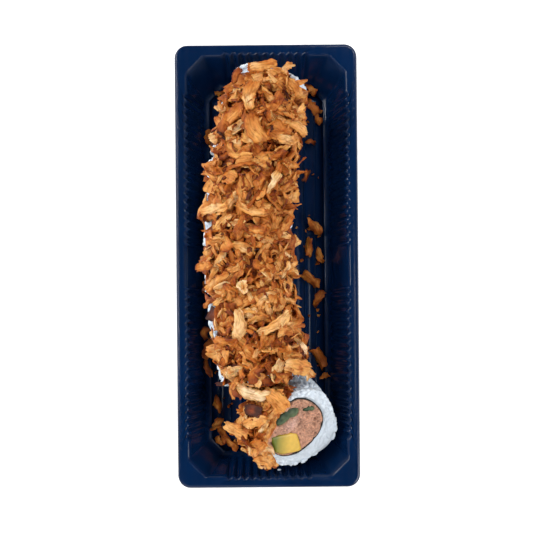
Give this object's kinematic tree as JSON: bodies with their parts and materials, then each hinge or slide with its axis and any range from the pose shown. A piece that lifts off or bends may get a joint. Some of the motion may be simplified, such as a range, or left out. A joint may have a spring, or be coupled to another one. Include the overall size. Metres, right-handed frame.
{
  "type": "takeaway sushi tray",
  "caption": "Long navy formed-plastic tray with fluted walls and a flat rim, holding a sliced inside-out sushi roll in a bent row under crispy fried onions.",
  "frame": {"origin": "middle of the tray's flat underside", "axes": "+Z up out of the tray, +Y along the tray to the end where the row of slices starts, +X to the right when looking down with +Y up"},
  "size_m": [0.09, 0.218, 0.049],
  "materials": {
    "navy_plastic": "glossy thermoformed sheet, dark navy",
    "rice": "cooked sushi rice, moist and slightly translucent white grains",
    "nori": "toasted seaweed sheet, nearly black",
    "tuna": "flaked cooked tuna with mayonnaise, pinkish beige",
    "avocado": "ripe avocado, yellow flesh turning green at its skin side",
    "cucumber": "cucumber strip, dark green skin and pale green flesh",
    "fried_onion": "crispy fried onion, golden to brown, oily sheen"
  },
  "bodies": {
    "root": {"tray": "navy_plastic", "slice_1_rice": "rice", "slice_1_nori": "nori", "slice_1_tuna": "tuna", "slice_1_avocado": "avocado", "slice_1_cucumber": "cucumber", "slice_2_rice": "rice", "slice_2_nori": "nori", "slice_2_tuna": "tuna", "slice_2_avocado": "avocado", "slice_2_cucumber": "cucumber", "slice_3_rice": "rice", "slice_3_nori": "nori", "slice_3_tuna": "tuna", "slice_3_avocado": "avocado", "slice_3_cucumber": "cucumber", "slice_4_rice": "rice", "slice_4_nori": "nori", "slice_4_tuna": "tuna", "slice_4_avocado": "avocado", "slice_4_cucumber": "cucumber", "slice_5_rice": "rice", "slice_5_nori": "nori", "slice_5_tuna": "tuna", "slice_5_avocado": "avocado", "slice_5_cucumber": "cucumber", "slice_6_rice": "rice", "slice_6_nori": "nori", "slice_6_tuna": "tuna", "slice_6_avocado": "avocado", "slice_6_cucumber": "cucumber", "slice_7_rice": "rice", "slice_7_nori": "nori", "slice_7_tuna": "tuna", "slice_7_avocado": "avocado", "slice_7_cucumber": "cucumber", "slice_8_rice": "rice", "slice_8_nori": "nori", "slice_8_tuna": "tuna", "slice_8_avocado": "avocado", "slice_8_cucumber": "cucumber", "onions_1": "fried_onion", "onions_2": "fried_onion", "onions_3": "fried_onion", "onions_4": "fried_onion", "onions_5": "fried_onion", "onions_6": "fried_onion", "onions_7": "fried_onion", "onions_8": "fried_onion", "loose_flake_1": "fried_onion", "loose_flake_2": "fried_onion", "loose_flake_3": "fried_onion", "loose_flake_4": "fried_onion", "loose_flake_5": "fried_onion", "loose_flake_6": "fried_onion", "loose_flake_7": "fried_onion", "loose_flake_8": "fried_onion", "loose_flake_9": "fried_onion", "loose_flake_10": "fried_onion"}
  },
  "joints": []
}
